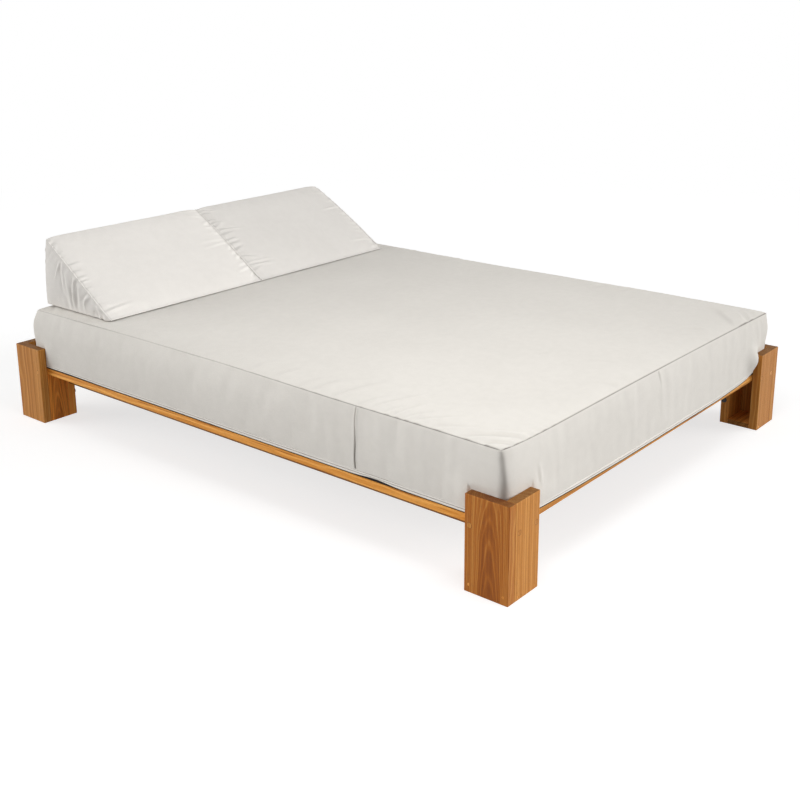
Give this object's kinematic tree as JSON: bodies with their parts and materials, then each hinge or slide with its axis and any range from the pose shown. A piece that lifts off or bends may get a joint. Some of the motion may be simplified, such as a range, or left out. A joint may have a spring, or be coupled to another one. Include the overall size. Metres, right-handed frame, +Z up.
{
  "type": "double chaise lounger",
  "caption": "Low double chaise lounger: a slatted teak platform on open box legs, with a thick flat mattress and loose wedge cushions at the head end.",
  "frame": {"origin": "on the floor, in the middle of the platform", "axes": "+Y along the length towards the head end with the wedge cushions, +X across the width to the right as seen from the foot end, +Z up"},
  "size_m": [1.64, 2.11, 0.645],
  "materials": {
    "leg_teak": "satin",
    "deck_teak": "satin",
    "slat_teak": "matte",
    "rail_teak": "matte",
    "plug_teak": "satin",
    "screw_steel": "satin",
    "cap_plastic": "satin",
    "foam": "matte",
    "cover_cloth": "matte",
    "wedge_cloth": "matte",
    "zip_cloth": "matte"
  },
  "bodies": {
    "platform": {"foot_left_side_board": "leg_teak", "foot_left_end_board": "leg_teak", "foot_left_inner_board": "leg_teak", "foot_left_base_board": "leg_teak", "foot_right_side_board": "leg_teak", "foot_right_end_board": "leg_teak", "foot_right_inner_board": "leg_teak", "foot_right_base_board": "leg_teak", "head_left_side_board": "leg_teak", "head_left_end_board": "leg_teak", "head_left_inner_board": "leg_teak", "head_left_base_board": "leg_teak", "head_right_side_board": "leg_teak", "head_right_end_board": "leg_teak", "head_right_inner_board": "leg_teak", "head_right_base_board": "leg_teak", "left_deck_board": "deck_teak", "right_deck_board": "deck_teak", "foot_deck_board": "deck_teak", "head_deck_board": "deck_teak", "deck_slat_01": "slat_teak", "deck_slat_02": "slat_teak", "deck_slat_03": "slat_teak", "deck_slat_04": "slat_teak", "deck_slat_05": "slat_teak", "deck_slat_06": "slat_teak", "deck_slat_07": "slat_teak", "deck_slat_08": "slat_teak", "deck_slat_09": "slat_teak", "deck_slat_10": "slat_teak", "deck_slat_11": "slat_teak", "deck_slat_12": "slat_teak", "left_side_rail": "rail_teak", "right_side_rail": "rail_teak", "foot_end_rail": "rail_teak", "head_end_rail": "rail_teak", "centre_rail": "rail_teak", "centre_foot": "rail_teak", "leg_plugs": "plug_teak", "leg_pins": "plug_teak", "leg_screws": "screw_steel", "leg_bolts": "screw_steel", "rail_screws": "screw_steel", "deck_screws": "screw_steel", "bolt_caps": "cap_plastic"},
    "mattress": {"mattress_foam": "foam", "mattress_top_panel": "cover_cloth", "mattress_side_band": "cover_cloth", "mattress_zip_border": "zip_cloth", "mattress_bottom_panel": "cover_cloth"},
    "left_wedge": {"left_wedge_foam": "foam", "left_wedge_sleeve": "wedge_cloth", "left_wedge_left_gusset": "wedge_cloth", "left_wedge_right_gusset": "wedge_cloth"},
    "right_wedge": {"right_wedge_foam": "foam", "right_wedge_sleeve": "wedge_cloth", "right_wedge_left_gusset": "wedge_cloth", "right_wedge_right_gusset": "wedge_cloth"}
  },
  "joints": [
    {"name": "mattress_lift", "type": "slide", "parent": "platform", "child": "mattress", "axis": [0, 0, 1], "range_m": [0, 0.3]},
    {"name": "left_wedge_lift", "type": "slide", "parent": "mattress", "child": "left_wedge", "axis": [0, 0, 1], "range_m": [0, 0.3]},
    {"name": "right_wedge_lift", "type": "slide", "parent": "mattress", "child": "right_wedge", "axis": [0, 0, 1], "range_m": [0, 0.3]}
  ]
}
